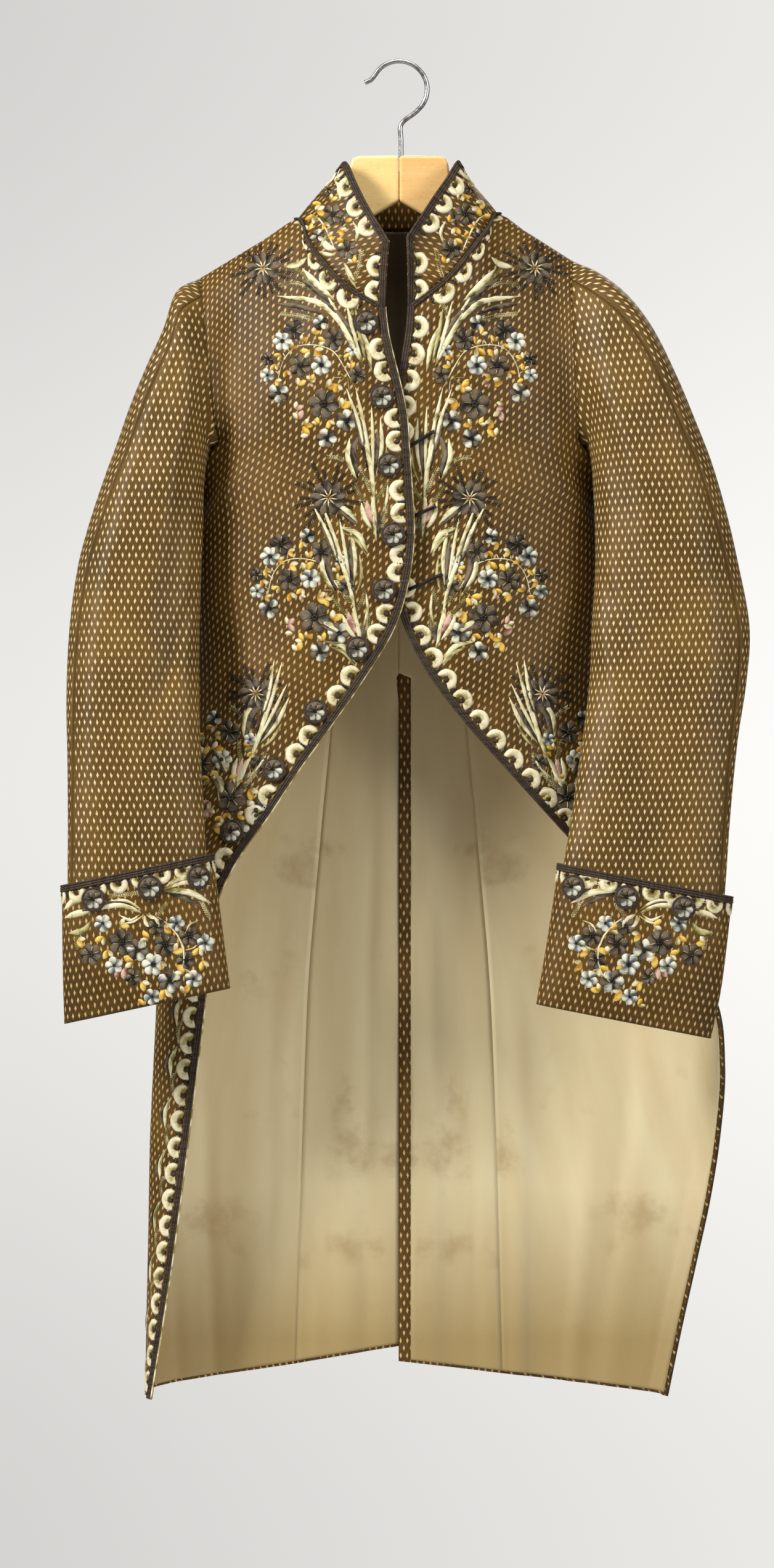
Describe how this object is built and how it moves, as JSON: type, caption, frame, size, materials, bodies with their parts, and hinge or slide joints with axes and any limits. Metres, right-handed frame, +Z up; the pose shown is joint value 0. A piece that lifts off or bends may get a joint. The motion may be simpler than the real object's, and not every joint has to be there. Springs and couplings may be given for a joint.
{
  "type": "tailcoat on a hanger",
  "caption": "Eighteenth-century court tailcoat of figured silk with an embroidered border, standing collar and turned-back cuffs, hung on a wooden hanger by its hook",
  "frame": {"origin": "the inside top of the hanger's hook, where the rail or peg that holds the coat touches it", "axes": "+Z up, the coat's front faces -Y, +X is the wearer's left"},
  "size_m": [0.624, 0.1883, 1.2255],
  "materials": {
    "figured_silk": "brown-olive silk woven with a small cream lozenge spot, soft sheen",
    "silk_lining": "cream silk lining, aged and lightly stained, satin sheen",
    "chenille_braid": "dark grey-brown chenille cord, matt",
    "embroidered_button": "domed button covered in dark floss with a stitched flower",
    "beech": "varnished pale beech, orange tone, satin",
    "steel": "polished steel wire"
  },
  "bodies": {
    "root": {"back_left": "figured_silk", "back_lining_left": "silk_lining", "back_lining_right": "silk_lining", "back_right": "figured_silk", "collar": "figured_silk", "collar_braid": "chenille_braid", "cuff_braid_left": "chenille_braid", "cuff_braid_right": "chenille_braid", "cuff_button_left_1": "embroidered_button", "cuff_button_left_2": "embroidered_button", "cuff_button_left_3": "embroidered_button", "cuff_button_right_1": "embroidered_button", "cuff_button_right_2": "embroidered_button", "cuff_button_right_3": "embroidered_button", "cuff_left": "figured_silk", "cuff_right": "figured_silk", "front_braid_left": "chenille_braid", "front_braid_right": "chenille_braid", "front_button_1": "embroidered_button", "front_button_2": "embroidered_button", "front_button_3": "embroidered_button", "front_button_4": "embroidered_button", "front_button_5": "embroidered_button", "front_button_6": "embroidered_button", "front_button_7": "embroidered_button", "front_button_8": "embroidered_button", "front_button_9": "embroidered_button", "front_left": "figured_silk", "front_lining_left": "silk_lining", "front_lining_right": "silk_lining", "front_right": "figured_silk", "hanger_arm_left": "beech", "hanger_arm_right": "beech", "hook": "steel", "sleeve_back_left": "figured_silk", "sleeve_back_right": "figured_silk", "sleeve_front_left": "figured_silk", "sleeve_front_right": "figured_silk"}
  },
  "joints": []
}
